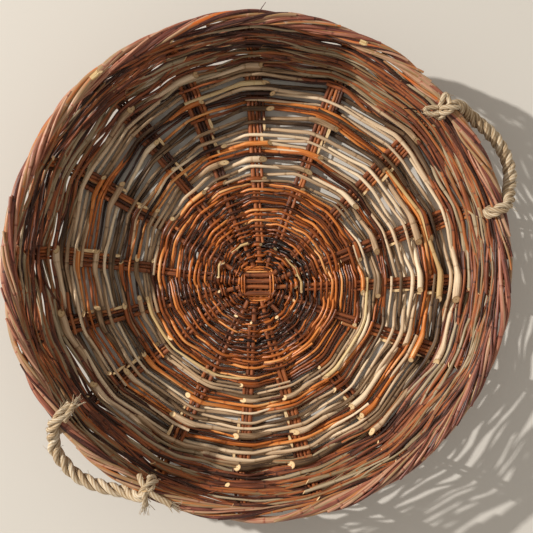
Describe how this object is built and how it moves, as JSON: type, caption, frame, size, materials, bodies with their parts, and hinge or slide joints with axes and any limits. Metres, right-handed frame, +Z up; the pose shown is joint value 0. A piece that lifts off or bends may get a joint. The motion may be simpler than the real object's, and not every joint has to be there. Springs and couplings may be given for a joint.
{
  "type": "shallow woven basket",
  "caption": "Shallow round basket woven of brown and tan willow rods, with a wound rod border and a twisted rope handle looped on each side.",
  "frame": {"origin": "on the ground under the middle of the basket's own box, 11 mm to the right of the rim's middle because the right handle reaches past the rim", "axes": "+Z up out of the basket's mouth, +Y away from a person who looks down into it as in the picture, +X to their right, towards the handle that stands out furthest"},
  "size_m": [0.6224, 0.5996, 0.1357],
  "materials": {
    "stick_willow": "dry dark bark of the base sticks",
    "stake_willow": "dry brown bark of the side stakes",
    "brown_willow": "glossy orange-brown willow bark",
    "tan_willow": "dull grey-tan willow bark",
    "red_willow": "dry reddish-brown willow bark",
    "border_willow": "satin pinkish-brown willow bark",
    "rope": "three-strand natural fibre rope"
  },
  "bodies": {
    "basket": {"base_stick_across_01": "stick_willow", "base_stick_across_02": "stick_willow", "base_stick_across_03": "stick_willow", "base_stick_across_04": "stick_willow", "base_stick_down_01": "stick_willow", "base_stick_down_02": "stick_willow", "base_stick_down_03": "stick_willow", "base_stick_down_04": "stick_willow", "bend_row_01": "red_willow", "bend_row_02": "red_willow", "bend_row_03": "red_willow", "border_rod_01": "border_willow", "border_rod_02": "border_willow", "border_rod_03": "border_willow", "centre_brown_row_01": "brown_willow", "centre_brown_row_02": "brown_willow", "centre_brown_row_03": "brown_willow", "centre_brown_row_04": "brown_willow", "centre_brown_row_05": "brown_willow", "centre_brown_row_06": "brown_willow", "centre_brown_row_07": "brown_willow", "inner_brown_row_01": "brown_willow", "inner_brown_row_02": "brown_willow", "inner_tan_row_01": "tan_willow", "inner_tan_row_02": "tan_willow", "middle_tan_row_01": "tan_willow", "middle_tan_row_02": "tan_willow", "outer_brown_row_01": "brown_willow", "outer_tan_row_01": "tan_willow", "outer_tan_row_02": "tan_willow", "outer_tan_row_03": "tan_willow", "side_stakes_01": "stake_willow", "side_stakes_02": "stake_willow", "side_stakes_03": "stake_willow", "side_stakes_04": "stake_willow", "side_stakes_05": "stake_willow", "side_stakes_06": "stake_willow", "side_stakes_07": "stake_willow", "side_stakes_08": "stake_willow", "side_stakes_09": "stake_willow", "side_stakes_10": "stake_willow", "side_stakes_11": "stake_willow", "side_stakes_12": "stake_willow", "side_stakes_13": "stake_willow", "side_stakes_14": "stake_willow", "side_stakes_15": "stake_willow", "side_stakes_16": "stake_willow", "wall_row_01": "red_willow", "wall_row_02": "red_willow", "wall_row_03": "red_willow", "wall_row_04": "red_willow", "wall_row_05": "red_willow"},
    "right_handle": {"handle_right": "rope"},
    "left_handle": {"handle_left": "rope"}
  },
  "joints": [
    {"name": "right_handle_swing", "type": "hinge", "parent": "basket", "child": "right_handle", "pos_m": [0.21451, 0.18254, 0.11542], "axis": [0.444, -0.896, 0], "range_deg": [-38, 150]},
    {"name": "left_handle_swing", "type": "hinge", "parent": "basket", "child": "left_handle", "pos_m": [-0.14244, -0.25919, 0.11542], "axis": [-0.7726, 0.6349, 0], "range_deg": [-38, 150]}
  ]
}
